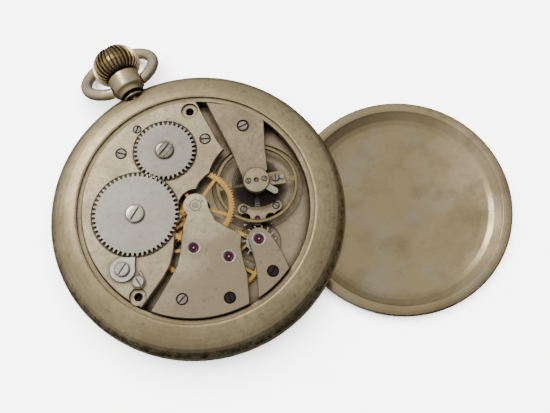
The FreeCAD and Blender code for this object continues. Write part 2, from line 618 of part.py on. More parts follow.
def pallet_fork():
    d = angle(PALLET, BALANCE)
    back = angle(PALLET, ESCAPE)

    def at(r, deg):
        return polar(PALLET, r, d + deg)

    half = [(0.75, 60), (4.2, 4.5), (5.05, 9.5), (5.6, 8.2), (5.6, 4.2), (4.95, 3.9)]
    outline = [at(r, deg) for r, deg in half] + [at(r, -deg) for r, deg in reversed(half)]
    body = prism(outline, *PALLET_LEVEL)
    arms = prism([polar(PALLET, 0.9, back + 95), polar(PALLET, 2.5, back + 80), polar(PALLET, 2.7, back + 66),
                  polar(PALLET, 2.1, back + 64), polar(PALLET, 0.7, back + 40), polar(PALLET, 0.7, back - 40),
                  polar(PALLET, 2.1, back - 64), polar(PALLET, 2.7, back - 66), polar(PALLET, 2.5, back - 80),
                  polar(PALLET, 0.9, back - 95)], *PALLET_LEVEL)
    body = body.fuse(arms).fuse(cyl(PALLET, 0.4, 7.1, 8.1)).fuse(cyl(PALLET, 0.16, 6.6, 8.3))
    return body.removeSplitter()


def pallet_stones():
    back = angle(PALLET, ESCAPE)
    stones = []
    for side in (1, -1):
        corners = [(2.16, 63.8), (2.66, 65.5), (2.64, 57.5), (2.24, 57.0)]
        stones.append(prism([polar(PALLET, r, back + side * deg) for r, deg in corners], *PALLET_LEVEL))
    return Part.makeCompound(stones)


# ---- balance -----------------------------------------------------------------------------
def balance_wheel():
    rim = ring(BALANCE, 7.15, 6.5, 8.6, 9.08)
    hub = ring(BALANCE, 1.0, 0.52, 8.85, 9.1)
    arms = Part.makeBox(13.2, 0.75, 0.2, vec(BALANCE[0] - 6.6, BALANCE[1] - 0.375, 8.86))
    arms.rotate(vec(BALANCE[0], BALANCE[1], 0), vec(0, 0, 1), STUD_DEG)
    return rim.fuse(hub).fuse(arms).cut(cyl(BALANCE, 0.52, 8, 10)).removeSplitter()


def balance_staff():
    body = arbor(BALANCE, [(0.14, 6.5, 10.18), (0.34, 7.1, 8.85), (0.5, 8.6, 9.25), (0.3, 9.25, 9.65)])
    return body.fuse(cyl(BALANCE, 1.35, 8.15, 8.4)).fuse(cyl(BALANCE, 0.62, 7.45, 7.7)).cut(
        cyl(polar(BALANCE, 1.0, angle(BALANCE, PALLET)), 0.13, 8.0, 9)).removeSplitter()


def impulse_pin():
    return cyl(polar(BALANCE, 1.0, angle(BALANCE, PALLET)), 0.13, 8.04, 8.4)


def hairspring():
    """Flat spiral from the collet out to the stud."""
    turns = 12
    n = turns * 30
    stud_angle = angle(BALANCE, STUD)
    outer = []
    inner = []
    for i in range(n + 1):
        a = stud_angle - 360.0 * turns * (1 - i / n)
        r = 0.75 + (dist(BALANCE, STUD) - 0.75) * i / n
        outer.append(polar(BALANCE, r + 0.06, a))
        inner.append(polar(BALANCE, r - 0.06, a))
    coil = prism(outer + inner[::-1], 9.38, 9.57)
    collet = prism(poly_circle(BALANCE, 0.8, 16), 9.33, 9.6).cut(cyl(BALANCE, 0.34, 9, 10))
    return coil.fuse(collet).removeSplitter()


def hairspring_stud():
    body = cyl(STUD, 0.26, 9.62, 10.6)
    return body.fuse(cyl(STUD, 0.38, 10.49, 10.72)).removeSplitter()


def regulator():
    """Index lever that turns round the cap under its rim, with a rounded tail."""
    body = ring(BALANCE, 2.2, 1.97, 10.49, 10.7)
    tail = prism([polar(BALANCE, 2.05, INDEX_DEG + 15), polar(BALANCE, 3.7, INDEX_DEG + 8.5),
                  polar(BALANCE, 3.7, INDEX_DEG - 8.5), polar(BALANCE, 2.05, INDEX_DEG - 15)], 10.49, 10.7)
    return body.fuse(tail).fuse(cyl(polar(BALANCE, 3.7, INDEX_DEG), 0.55, 10.49, 10.7)).removeSplitter()


def balance_end_cap():
    """Round cap over the upper pivot: a stepped disc with an oil sink and two screws."""
    body = cyl(BALANCE, 0.86, 10.24, 10.5).fuse(cyl(BALANCE, 1.93, 10.46, 10.74))
    body = body.fuse(cyl(BALANCE, 2.2, 10.72, 10.95)).removeSplitter()
    body = bevel(body, 10.95, 0.07)
    sink = Part.makeCone(0.22, 0.5, 0.3, vec(BALANCE[0], BALANCE[1], 10.66), vec(0, 0, 1))
    body = body.cut(sink)
    for at in CAP_SCREWS:
        body = recess(body, at, 0.42, 11.0, 0.2, 0.24, 2.0)
    return body


# ---- dial side ----------------------------------------------------------------------------
def dial():
    body = cyl(CENTER, 20.6, 4.02, 4.48)
    body = body.cut(cyl(CENTER, 1.25, 3, 6))
    body = body.cut(cyl(FOURTH, 3.6, 3, 4.2))
    return body.cut(cyl(FOURTH, 0.45, 3, 6))


def cannon_pinion():
    body = prism(tooth_points(CENTER, CANNON_LEAVES, cannon_r, 0.0), 5.12, 5.5)
    body = body.fuse(cyl(CENTER, 0.7, 2.75, 5.12))
    return body.cut(cyl(CENTER, 0.51, 2, 6)).removeSplitter()


def minute_wheel():
    body = prism(tooth_points(MINUTE, MINUTE_TEETH, minute_r, minute_phase), 5.15, 5.4)
    leaves = prism(tooth_points(MINUTE, MINUTE_LEAVES, minute_pinion_r, 0.0), 4.6, 5.15)
    return body.fuse(leaves).cut(prism(poly_circle(MINUTE, 0.45, 12), 4, 6)).removeSplitter()


def hour_wheel():
    body = prism(tooth_points(CENTER, HOUR_TEETH, hour_r, hour_phase), 4.64, 4.92)
    return body.fuse(cyl(CENTER, 1.1, 3.15, 4.7)).cut(cyl(CENTER, 0.75, 2, 6)).removeSplitter()


def hand(at, r_hub, bore, length, width, z0, z1, deg, tail):
    body = cyl(at, r_hub, z0, z1)
    edge = [(-tail, width / 3), (r_hub, width / 2), (length * 0.78, width / 2.4)]
    outline = [(at[0] + x, at[1] - y) for x, y in edge] + [(at[0] + length, at[1])]
    outline += [(at[0] + x, at[1] + y) for x, y in reversed(edge)]
    blade = prism(outline, z0, z1)
    blade.rotate(vec(at[0], at[1], 0), vec(0, 0, 1), deg)
    return body.fuse(blade).removeSplitter().cut(cyl(at, bore, z0 - 1, z1 + 1))


# ---- jewels and fasteners -------------------------------------------------------------------
def jewel_setting(at):
    return ring(at, 1.2, 0.8, POCKET_Z, 10.06)


def jewel(at):
    return ring(at, 0.79, 0.16 + RUN_FIT, POCKET_Z, 9.95)


def main():
    os.makedirs("parts", exist_ok=True)
    save("case_middle", case_middle())
    save("bezel", bezel())
    save("crystal", crystal())
    save("back_cover", back_cover(), 0.0)
    save("pendant", pendant())
    save("bow", bow())
    save("crown", crown())
    save("crown_stem", crown_stem())
    save("main_plate", main_plate())
    save("barrel_bridge", barrel_bridge())
    save("train_bridge", train_bridge())
    save("escape_cock", escape_cock())
    save("balance_cock", balance_cock())
    save("pallet_bridge", pallet_bridge())
    save("winding_stem", winding_stem())
    save("winding_pinion", winding_pinion())
    save("ratchet_wheel", ratchet_wheel())
    save("ratchet_screw", wheel_screw(BARREL, 0.6, 8.5, 31))
    save("crown_wheel", crown_wheel())
    save("crown_wheel_screw", wheel_screw(CROWN_WHEEL, 0.55, 8.6, 23, True))
    save("barrel_arbor", barrel_arbor())
    save("barrel_drum", barrel_drum())
    save("mainspring", mainspring())
    save("click", click())
    save("click_spring", click_spring())
    save("click_screws", Part.makeCompound([screw(CLICK, 10.85, 1.25, 0.38, 0.48, 1.9, 30),
                                            screw(SPRING_SCREW, 10.75, 1.0, 0.42, 0.4, 1.9, -84)]))
    save("center_wheel", center_wheel())
    save("center_arbor", center_arbor())
    save("third_wheel", train_wheel(THIRD, THIRD_TEETH, third_r, 0.0, 8.55, 8.8, 0.52, 5, 1.1, 0.5))
    save("third_arbor", pinion_arbor(THIRD, THIRD_LEAVES, third_pinion_r, third_pinion_phase,
                                     9.14, 9.46, 6.7, 9.9, 0.35, 0.16, (8.4, 8.85)))
    save("fourth_wheel", train_wheel(FOURTH, FOURTH_TEETH, fourth_r, 0.0, 7.5, 7.75, 0.52, 5, 1.1, 0.5))
    fourth_arbor = pinion_arbor(FOURTH, FOURTH_LEAVES, fourth_pinion_r, fourth_pinion_phase,
                                8.45, 8.88, 7.35, 9.9, 0.45, 0.16, (7.4, 8.45))
    save("fourth_arbor", fourth_arbor.fuse(cyl(FOURTH, 0.3, 3.6, 7.5)))
    save("escape_wheel", escape_wheel())
    save("escape_arbor", pinion_arbor(ESCAPE, ESCAPE_LEAVES, escape_pinion_r, escape_pinion_phase,
                                      7.4, 7.78, 6.6, 9.9, 0.3, 0.16, (7.78, 8.1)))
    save("pallet_fork", pallet_fork())
    save("pallet_stones", pallet_stones())
    save("balance_wheel", balance_wheel())
    save("balance_staff", balance_staff())
    save("impulse_pin", impulse_pin())
    save("hairspring", hairspring())
    save("hairspring_stud", hairspring_stud())
    save("regulator", regulator())
    save("balance_end_cap", balance_end_cap())
    save("cap_screws", Part.makeCompound([screw(at, 11.0, 0.4, 0.19, 0.2, 1.2, s, 0.14)
                                          for at, s in zip(CAP_SCREWS, (30, 75))]))
    save("stud_screw", screw(STUD_SCREW, 10.78, 0.62, 0.3, 0.2, 0.9, 65, 0.2))
    save("dial", dial())
    save("cannon_pinion", cannon_pinion())
    save("minute_wheel", minute_wheel())
    save("hour_wheel", hour_wheel())
    save("hour_hand", hand(CENTER, 1.7, 1.11, 9.6, 1.5, 3.2, 3.4, 155, 2.2))
    save("minute_hand", hand(CENTER, 1.3, 0.71, 15.0, 1.1, 2.85, 3.05, 30, 2.6))
    save("seconds_hand", hand(FOURTH, 0.6, 0.31, 3.1, 0.4, 3.66, 3.82, 90, 0.9))
    save("jewel_settings", Part.makeCompound([jewel_setting(at) for at in (THIRD, FOURTH, ESCAPE)]))
    save("train_jewels", Part.makeCompound([jewel(at) for at in (THIRD, FOURTH, ESCAPE)]))
    save("pallet_jewel", ring(PALLET, 0.49, 0.2, 8.2, 8.48))
    slots = [20, -25, -45, 43, -3]
    heights = [10.05, 10.05, 10.05, 10.05, 10.5]
    bridge_screws = [screw(at, top, head, 0.48, 0.54, 3.2, s)
                     for at, top, head, s in zip(BRIDGE_SCREWS, heights, BRIDGE_HEADS, slots)]
    save("bridge_screws", Part.makeCompound(bridge_screws))
    save("dark_screws", Part.makeCompound([screw(at, 10.05, 0.9, 0.48, 0.54, 3.2, s)
                                           for at, s in zip(DARK_SCREWS, [80, 30])]))
    save("pallet_screws", Part.makeCompound([screw(at, 8.55, 0.52, 0.28, 0.34, 2.2, s, 0.18)
                                             for at, s in zip(PALLET_SCREWS, [40, 120])]))
    save("case_screws", Part.makeCompound([screw(at, 8.4, 0.7, 0.5, 0.45, 2.2, s)
                                           for at, s in zip(CASE_SCREWS, [60, 10])]))
    save("screw_sleeves", Part.makeCompound([ring(at, 1.45, 0.74, 8.45, 9.62) for at in CASE_SCREWS]))


main()
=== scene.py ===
import math

import bpy
import bmesh
from mathutils import Matrix, Vector


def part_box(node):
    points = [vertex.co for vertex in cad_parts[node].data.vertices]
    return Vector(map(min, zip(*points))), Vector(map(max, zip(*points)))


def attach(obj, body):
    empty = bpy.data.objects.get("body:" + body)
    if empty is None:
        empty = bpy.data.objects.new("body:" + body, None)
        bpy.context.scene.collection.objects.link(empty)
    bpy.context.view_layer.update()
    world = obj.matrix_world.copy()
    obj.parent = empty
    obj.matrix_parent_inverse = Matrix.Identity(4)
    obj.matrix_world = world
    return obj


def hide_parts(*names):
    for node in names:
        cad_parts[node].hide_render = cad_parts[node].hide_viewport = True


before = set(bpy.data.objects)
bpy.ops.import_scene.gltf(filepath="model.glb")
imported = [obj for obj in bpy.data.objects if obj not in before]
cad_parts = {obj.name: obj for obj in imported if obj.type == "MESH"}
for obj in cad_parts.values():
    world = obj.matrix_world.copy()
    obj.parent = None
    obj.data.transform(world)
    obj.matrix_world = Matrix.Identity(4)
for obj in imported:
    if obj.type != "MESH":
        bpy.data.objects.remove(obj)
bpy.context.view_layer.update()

# Crown-wound pocket timekeeper lying on its crystal, with the back cover beside it.
# Lengths are typed in millimetres and turned into metres by at(). The crown points along +Y.
MM = 0.001
CASE_MIDDLE_LOW = 4.95       # underside of the case middle above the height datum
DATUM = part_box("case_middle")[0].z - CASE_MIDDLE_LOW * MM


def centre(node):
    """Middle of a node's box seen from above, in mm."""
    low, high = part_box(node)
    return ((low.x + high.x) / 2 / MM, (low.y + high.y) / 2 / MM)


def at(x, y, z):
    """Point in metres from millimetres, with z counted from the datum."""
    return Vector((x * MM, y * MM, z * MM + DATUM))


BARREL = centre("ratchet_wheel")
CROWN_WHEEL = centre("crown_wheel")
BALANCE = centre("balance_wheel")
THIRD = centre("third_wheel")
FOURTH = centre("fourth_wheel")
ESCAPE = centre("escape_wheel")
COVER = centre("back_cover")
STEM_Z = ((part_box("crown")[0].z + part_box("crown")[1].z) / 2 - DATUM) / MM
CROWN_Y = 29.5               # inner end of the crown
BOW_Y = 27.2                 # pivot line of the bow
BOW_TILT = -36.5             # degrees the bow hangs below the stem's axis
STUD_DEG = -21.0             # direction of the hairspring stud and the balance arms


# ---------------------------------------------------------------- materials
class Nodes:
    """Small helper that builds a node tree in reading order."""

    def __init__(self, name):
        self.material = bpy.data.materials.new(name)
        self.material.use_nodes = True
        self.tree = self.material.node_tree
        self.shader = self.tree.nodes["Principled BSDF"]
        self.coord = self.tree.nodes.new("ShaderNodeTexCoord")

    def add(self, kind, **values):
        node = self.tree.nodes.new(kind)
        for key, value in values.items():
            if key in node.inputs:
                node.inputs[key].default_value = value
            else:
                setattr(node, key, value)
        return node

    def link(self, out, target):
        self.tree.links.new(out, target)

    def noise(self, scale, detail=4.0, rough=0.6, stretch=None):
        node = self.add("ShaderNodeTexNoise", Scale=scale, Detail=detail, Roughness=rough)
        source = self.coord.outputs["Object"]
        if stretch:
            mapping = self.add("ShaderNodeMapping")
            mapping.inputs["Scale"].default_value = stretch
            self.link(source, mapping.inputs["Vector"])
            source = mapping.outputs["Vector"]
        self.link(source, node.inputs["Vector"])
        return node.outputs["Fac"]

    def radius(self, x, y):
        """Distance from an upright axis, for lathe marks and the painted shade round an axis."""
        node = self.add("ShaderNodeVectorMath", operation="SUBTRACT")
        self.link(self.coord.outputs["Object"], node.inputs[0])
        node.inputs[1].default_value = (x * MM, y * MM, 0)
        flat = self.add("ShaderNodeVectorMath", operation="MULTIPLY")
        self.link(node.outputs[0], flat.inputs[0])
        flat.inputs[1].default_value = (1, 1, 0)
        length = self.add("ShaderNodeVectorMath", operation="LENGTH")
        self.link(flat.outputs[0], length.inputs[0])
        return length.outputs["Value"]

    def rings(self, x, y, scale, detail=2.0):
        """One-dimensional noise along the radius: circular brushing."""
        node = self.add("ShaderNodeTexNoise", Scale=scale, Detail=detail, Roughness=0.7)
        node.noise_dimensions = "1D"
        self.link(self.radius(x, y), node.inputs["W"])
        return node.outputs["Fac"]

    def mix(self, fac, a, b, blend="MIX"):
        node = self.add("ShaderNodeMix", data_type="RGBA", blend_type=blend)
        for socket, value in ((node.inputs[0], fac), (node.inputs[6], a), (node.inputs[7], b)):
            if isinstance(value, bpy.types.NodeSocket):
                self.link(value, socket)
            elif isinstance(value, (int, float)):
                socket.default_value = value
            else:
                socket.default_value = tuple(value) + (1.0,)
        return node.outputs[2]

    def scale(self, source, low, high, from_low=0.3, from_high=0.7):
        node = self.add("ShaderNodeMapRange")
        node.inputs["From Min"].default_value = from_low
        node.inputs["From Max"].default_value = from_high
        node.inputs["To Min"].default_value = low
        node.inputs["To Max"].default_value = high
        self.link(source, node.inputs["Value"])
        return node.outputs["Result"]

    # ambient occlusion mask; worn_metal uses it to paint shade into corners and crevices
    def crevice(self, distance):
        node = self.add("ShaderNodeAmbientOcclusion", samples=6)
        node.inputs["Distance"].default_value = distance * MM
        return node.outputs["AO"]

    def bump(self, sources):
        """Chain of bumps from (height socket, strength, distance in mm)."""
        normal = None
        for source, strength, distance in sources:
            node = self.add("ShaderNodeBump", Strength=strength)
            node.inputs["Distance"].default_value = distance * MM
            self.link(source, node.inputs["Height"])
            if normal:
                self.link(normal, node.inputs["Normal"])
            normal = node.outputs["Normal"]
        self.link(normal, self.shader.inputs["Normal"])

    def set(self, **values):
        for key, value in values.items():
            self.shader.inputs[key.replace("_", " ")].default_value = value


def worn_metal(name, color, stain_and_shade, grime_and_shade, rough=(0.3, 0.45), stain_scale=140, grain=9000,
               grain_bump=0.25, grime_and_shade_reach=0.5, turned=None, grime_and_shade_amount=0.8, pits=0.0,
               recess_shade=None, shade_gradient=None, speckled=0.8, clouds=None, spotted=0.5):
    """Metal with uneven stain, fine grain, and dirt and painted shade gathered in its corners.

    grime_and_shade_reach is how far, in mm, the corners hold dirt and painted shade. pits is how dark
    the blotches of dirt on steep flanks are.
    turned is (axis x, axis y, scale, strength): lathe lines round an axis.
    recess_shade is (x, y, inner mm, outer mm): a painted shade patch that fades between the two radii.
    shade_gradient is (direction x, direction y, start mm, end mm, amount): painted shade that darkens the
    colour one way.
    clouds is a list of (colour, scale, amount): soft patches of tarnish.
    """
    n = Nodes(name)
    n.set(Metallic=1.0)
    broad = n.noise(stain_scale, 5.0, 0.62)
    fine = n.noise(grain, 3.0, 0.6)
    base = n.mix(n.scale(broad, 0.0, 1.0, 0.38, 0.68), color, stain_and_shade)
    # painted light and shade: the colour runs from the base colour to the darker stain colour along one
    # direction, lighter on the side the light falls on
    if shade_gradient:
        across = n.add("ShaderNodeVectorMath", operation="DOT_PRODUCT")
        n.link(n.coord.outputs["Object"], across.inputs[0])
        across.inputs[1].default_value = (shade_gradient[0], shade_gradient[1], 0)
        wander = n.add("ShaderNodeMath", operation="MULTIPLY_ADD")
        n.link(n.noise(70, 3.0, 0.5), wander.inputs[0])
        wander.inputs[1].default_value = 0.008
        n.link(across.outputs["Value"], wander.inputs[2])
        base = n.mix(n.scale(wander.outputs[0], 0.0, shade_gradient[4], shade_gradient[2] * MM, shade_gradient[3] * MM), base, stain_and_shade)
    for i, (tarnish, size, amount) in enumerate(clouds or ()):
        patch = n.noise(size, 3.0, 0.55, (1, 1 + 0.3 * i, 1))
        base = n.mix(n.scale(patch, 0.0, amount, 0.50, 0.66), base, tarnish)
    spots = n.noise(stain_scale * 7, 4.0, 0.7)
    base = n.mix(n.scale(spots, 0.0, spotted, 0.58, 0.71), base, grime_and_shade)
    speckle = n.noise(grain * 0.13, 4.0, 0.75)
    base = n.mix(n.scale(speckle, 0.0, speckled, 0.44, 0.66), base, stain_and_shade)
    if pits:
        geometry = n.add("ShaderNodeNewGeometry")
        upward = n.add("ShaderNodeSeparateXYZ")
        n.link(geometry.outputs["Normal"], upward.inputs[0])
        side = n.scale(upward.outputs["Z"], pits, 0.0, 0.45, 0.86)
        marks = n.scale(n.noise(900, 8.0, 0.75, (1, 1, 0.6)), 0.0, 1.0, 0.47, 0.55)
        both = n.add("ShaderNodeMath", operation="MULTIPLY")
        n.link(side, both.inputs[0])
        n.link(marks, both.inputs[1])
        base = n.mix(both.outputs[0], base, grime_and_shade)
    # painted shade: a dark patch round the balance, where the plate lies deep in shadow under the
    # hairspring
    if recess_shade:
        reach = n.scale(n.radius(recess_shade[0], recess_shade[1]), 0.93, 0.0, recess_shade[2] * MM, recess_shade[3] * MM)
        base = n.mix(reach, base, grime_and_shade)
    # painted shade: corners, crevices and the plate round raised parts darken toward the dark colour,
    # partly grime and partly the shade that falls there
    corner = n.scale(n.crevice(grime_and_shade_reach), grime_and_shade_amount, 0.0, 0.48, 0.97)
    base = n.mix(corner, base, grime_and_shade)
    n.link(base, n.shader.inputs["Base Color"])
    height = [(fine, grain_bump, 0.02), (speckle, grain_bump * 0.5, 0.02)]
    rough_source = n.noise(stain_scale * 3, 4.0, 0.6)
    if turned:
        lines = n.rings(turned[0], turned[1], turned[2])
        height.append((lines, turned[3], 0.02))
        rough_source = lines
    n.link(n.scale(rough_source, rough[0], rough[1]), n.shader.inputs["Roughness"])
    n.bump(height)
    return n.material


def ruby():
    """Dark red synthetic stone."""
    n = Nodes("ruby")
    cloud = n.noise(900, 3.0)
    red = n.mix(n.scale(cloud, 0, 1), (0.005, 0.0004, 0.0018), (0.016, 0.0008, 0.005))
    n.link(red, n.shader.inputs["Base Color"])
    n.link(n.scale(cloud, 0.06, 0.16), n.shader.inputs["Roughness"])
    n.set(IOR=1.76)
    n.shader.inputs["Specular IOR Level"].default_value = 0.12
    return n.material


def glass():
    """Slightly hazed watch glass."""
    n = Nodes("crystal_glass")
    n.set(IOR=1.5)
    n.shader.inputs["Transmission Weight"].default_value = 1.0
    haze = n.noise(220, 5.0, 0.7)
    n.link(n.scale(haze, 0.01, 0.07), n.shader.inputs["Roughness"])
    tint = n.mix(n.scale(haze, 0, 1), (0.96, 0.98, 0.97), (0.90, 0.92, 0.88))
    n.link(tint, n.shader.inputs["Base Color"])
    return n.material


def enamel():
    """Aged cream dial."""
    n = Nodes("dial_enamel")
    cloud = n.noise(90, 5.0)
    cream = n.mix(n.scale(cloud, 0, 1), (0.84, 0.82, 0.76), (0.76, 0.73, 0.65))
    n.link(cream, n.shader.inputs["Base Color"])
    n.link(n.scale(n.noise(600, 3.0), 0.16, 0.3), n.shader.inputs["Roughness"])
    n.bump([(n.noise(2500, 2.0), 0.08, 0.01)])
    return n.material


def paint_black():
    """Printing on the dial."""
    n = Nodes("dial_print")
    cloud = n.noise(2500, 3.0)
    ink = n.mix(n.scale(cloud, 0, 1), (0.015, 0.015, 0.017), (0.035, 0.033, 0.03))
    n.link(ink, n.shader.inputs["Base Color"])
    n.link(n.scale(cloud, 0.35, 0.5), n.shader.inputs["Roughness"])
    return n.material


def floor_paper():
    """Pale matt sheet under the watch."""
    n = Nodes("floor_paper")
    cloud = n.noise(30, 4.0)
    white = n.mix(n.scale(cloud, 0, 1), (0.93, 0.93, 0.92), (0.90, 0.90, 0.89))
    n.link(white, n.shader.inputs["Base Color"])
    n.link(n.scale(cloud, 0.8, 0.9), n.shader.inputs["Roughness"])
    return n.material


TAN = (0.46, 0.385, 0.235)
TAN_STAIN = (0.33, 0.265, 0.15)
# dark colours for dirt spots and pits, and for the painted shade in corners and recesses
GRIME_AND_SHADE = (0.045, 0.028, 0.012)
SOOT_AND_SHADE = (0.016, 0.011, 0.007)
MATERIALS = {
    "case": worn_metal(
        "case_nickel", TAN, TAN_STAIN, GRIME_AND_SHADE, (0.30, 0.46), 120, 7000, 0.3, 0.6,
        turned=(0, 0, 5200, 0.22), pits=0.9),
    # painted shadow: the cover darkens on the side toward the watch, whose edge overhangs it
    "cover": worn_metal(
        "cover_nickel", (0.55, 0.45, 0.28), (0.35, 0.28, 0.155), GRIME_AND_SHADE, (0.22, 0.34), 75, 7000, 0.10,
        1.0, grime_and_shade_amount=0.7, shade_gradient=(-0.96, 0.28, -46.0, -30.0, 0.9), speckled=0.3,
        clouds=[((0.34, 0.325, 0.27), 100, 0.45), ((0.24, 0.18, 0.09), 130, 0.5)], spotted=0.22),
    # painted highlight: the pendant and the bow get lighter copies of the case nickel, standing in for
    # the light they catch
    "pendant": worn_metal(
        "lit_pendant_nickel", (0.62, 0.51, 0.31), (0.46, 0.37, 0.21), GRIME_AND_SHADE, (0.22, 0.36), 260, 7000, 0.3,
        0.9, grime_and_shade_amount=0.95),
    "bow": worn_metal(
        "lit_bow_nickel", (0.80, 0.70, 0.48), (0.62, 0.52, 0.33), GRIME_AND_SHADE, (0.20, 0.34), 260, 7000, 0.3, 0.7),
    "crown": worn_metal(
        "crown_nickel", (0.70, 0.57, 0.34), (0.46, 0.35, 0.18), SOOT_AND_SHADE, (0.22, 0.36), 320, 7000, 0.3,
        0.6, grime_and_shade_amount=1.0),
    # painted light and shade: the plate colour darkens toward one side
    "plate": worn_metal(
        "plate_nickel", (0.63, 0.535, 0.36), (0.38, 0.31, 0.195), GRIME_AND_SHADE, (0.28, 0.40), 160, 9000, 0.35,
        0.8, grime_and_shade_amount=0.95, shade_gradient=(0.75, -0.66, -6.0, 16.0, 0.7)),
    # painted highlight and shade: the bright base gives the bridges their sheen and the gradient darkens
    # them away from the crown
    "bridge": worn_metal(
        "bridge_nickel", (0.78, 0.675, 0.475), (0.345, 0.285, 0.185), GRIME_AND_SHADE, (0.26, 0.38), 160, 9000,
        0.35, 0.8, grime_and_shade_amount=0.95, shade_gradient=(0.45, -0.89, 5.0, 12.0, 1.0), speckled=0.5),
    "cock": worn_metal(
        "cock_nickel", (0.46, 0.385, 0.255), (0.27, 0.22, 0.135), GRIME_AND_SHADE, (0.26, 0.38), 220, 9000, 0.35,
        0.8, grime_and_shade_amount=0.95),
    # painted shade: the main plate gets a darker copy of the plate nickel, for its place deep under the
    # bridges and the balance
    "shaded_plate": worn_metal(
        "shaded_plate_nickel", (0.42, 0.35, 0.24), (0.32, 0.26, 0.16), SOOT_AND_SHADE, (0.32, 0.48), 160, 9000,
        0.3, 1.8, grime_and_shade_amount=0.97, turned=(BALANCE[0], BALANCE[1], 2600, 0.3),
        recess_shade=(BALANCE[0], BALANCE[1], 3.6, 5.4)),
    "ratchet": worn_metal(
        "ratchet_steel", (0.47, 0.45, 0.385), (0.40, 0.38, 0.32), SOOT_AND_SHADE, (0.30, 0.42), 170, 9000, 0.2,
        0.45, turned=(BARREL[0], BARREL[1], 6000, 0.25), grime_and_shade_amount=1.0),
    "crown_wheel": worn_metal(
        "crown_wheel_steel", (0.41, 0.39, 0.335), (0.34, 0.32, 0.27), SOOT_AND_SHADE, (0.30, 0.42), 170, 9000,
        0.2, 0.45, turned=(CROWN_WHEEL[0], CROWN_WHEEL[1], 6000, 0.25), grime_and_shade_amount=1.0),
    "steel": worn_metal(
        "polished_steel", (0.50, 0.46, 0.38), (0.38, 0.34, 0.27), GRIME_AND_SHADE, (0.18, 0.3), 300, 9000, 0.12,
        0.3),
    "screw": worn_metal(
        "screw_steel", (0.42, 0.39, 0.32), (0.24, 0.21, 0.16), SOOT_AND_SHADE, (0.2, 0.34), 500, 9000, 0.15, 0.5,
        grime_and_shade_amount=1.0),
    "click": worn_metal(
        "click_steel", (0.84, 0.82, 0.74), (0.62, 0.59, 0.50), SOOT_AND_SHADE, (0.18, 0.3), 400, 9000, 0.15, 0.4,
        grime_and_shade_amount=1.0),
    "bright_screw": worn_metal(
        "bright_screw_steel", (0.72, 0.69, 0.60), (0.52, 0.49, 0.41), SOOT_AND_SHADE, (0.18, 0.3), 400, 9000,
        0.15, 0.8, grime_and_shade_amount=1.0),
    "gilt": worn_metal(
        "gilt_brass", (0.74, 0.46, 0.14), (0.56, 0.31, 0.08), (0.10, 0.045, 0.01), (0.22, 0.34), 200,
        9000, 0.15, 0.5),
    "balance": worn_metal(
        "balance_brass", (0.40, 0.32, 0.15), (0.26, 0.21, 0.10), (0.06, 0.04, 0.015), (0.18, 0.3), 200,
        9000, 0.12, 0.5),
    "blued": worn_metal(
        "blued_steel", (0.030, 0.028, 0.030), (0.040, 0.032, 0.026), (0.008, 0.008, 0.008),
        (0.25, 0.4), 400, 9000, 0.2, 0.3),
    "ruby": ruby(),
    "glass": glass(),
    "enamel": enamel(),
    "print": paint_black(),
}


def use(material, *nodes):
    """Gives carried-over CAD nodes one of the materials."""
    for name in nodes:
        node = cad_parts.get(name)
        if node:
            node.data.materials.clear()
            node.data.materials.append(MATERIALS[material])


# ---------------------------------------------------------------- mesh helpers
def finish_mesh(name, bm, material, body, replaces=(), sharp_deg=34.0):
    """Turns the mesh into a named piece that rides on a body and stands in for CAD nodes."""
    bmesh.ops.remove_doubles(bm, verts=bm.verts, dist=1e-8)
    bmesh.ops.dissolve_degenerate(bm, edges=bm.edges, dist=1e-9)
    bmesh.ops.recalc_face_normals(bm, faces=bm.faces)
    limit = math.radians(sharp_deg)
    for edge in bm.edges:
        edge.smooth = not (len(edge.link_faces) == 2 and edge.calc_face_angle(0) > limit)
    for face in bm.faces:
        face.smooth = True
    mesh = bpy.data.meshes.new(name)
    bm.to_mesh(mesh)
    bm.free()
    piece = bpy.data.objects.new(name, mesh)
    bpy.context.scene.collection.objects.link(piece)
    mesh.materials.append(MATERIALS[material])
    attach(piece, body)
    if replaces:
        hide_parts(*replaces)
    return piece


def fillet(points, radii, steps=5):
    """Rounds the corners of a closed profile. radii is one number or one per point."""
    count = len(points)
    if isinstance(radii, (int, float)):
        radii = [radii] * count
    result = []
    for i, point in enumerate(points):
        p = Vector(point)
        radius = radii[i]
        if radius <= 0 or p.x < 1e-6:
            result.append(tuple(p))
            continue
        a = Vector(points[i - 1]) - p
        b = Vector(points[(i + 1) % count]) - p
        la, lb = a.length, b.length
        angle = a.angle(b)
        if angle > math.radians(176):
            result.append(tuple(p))
            continue
        cut = min(radius / math.tan(angle / 2), 0.46 * la, 0.46 * lb)
        start = p + a / la * cut
        end = p + b / lb * cut
        for k in range(steps + 1):
            t = k / steps
            q = (1 - t) ** 2 * start + 2 * t * (1 - t) * p + t ** 2 * end
            result.append(tuple(q))
    return result


def lathe(bm, profile, place, segments=192, axis="Z", ripple=None):
    """Turns a closed (radius, height) profile about Z or, for the crown and pendant, about Y.

    place is the axis, (x, y) or (x, z). ripple(angle, r, h) returns a changed radius.
    """
    rows = []
    for i in range(segments):
        a = 2 * math.pi * i / segments
        row = []
        for r, h in profile:
            radius = ripple(a, r, h) if ripple and r > 1e-6 else r
            across = place[0] + radius * math.cos(a)
            beside = place[1] + radius * math.sin(a)
            row.append(bm.verts.new(at(across, beside, h) if axis == "Z" else at(across, h, beside)))
        rows.append(row)
    n = len(profile)
    for i in range(segments):
        left, right = rows[i], rows[(i + 1) % segments]
        for k in range(n):
            m = (k + 1) % n
            if profile[k][0] < 1e-6 and profile[m][0] < 1e-6:
                continue
            corners = [left[k], right[k], right[m], left[m]]
            if profile[k][0] < 1e-6:
                corners = [left[k], right[m], left[m]]
            elif profile[m][0] < 1e-6:
                corners = [left[k], right[k], left[m]]
            bm.faces.new(corners)


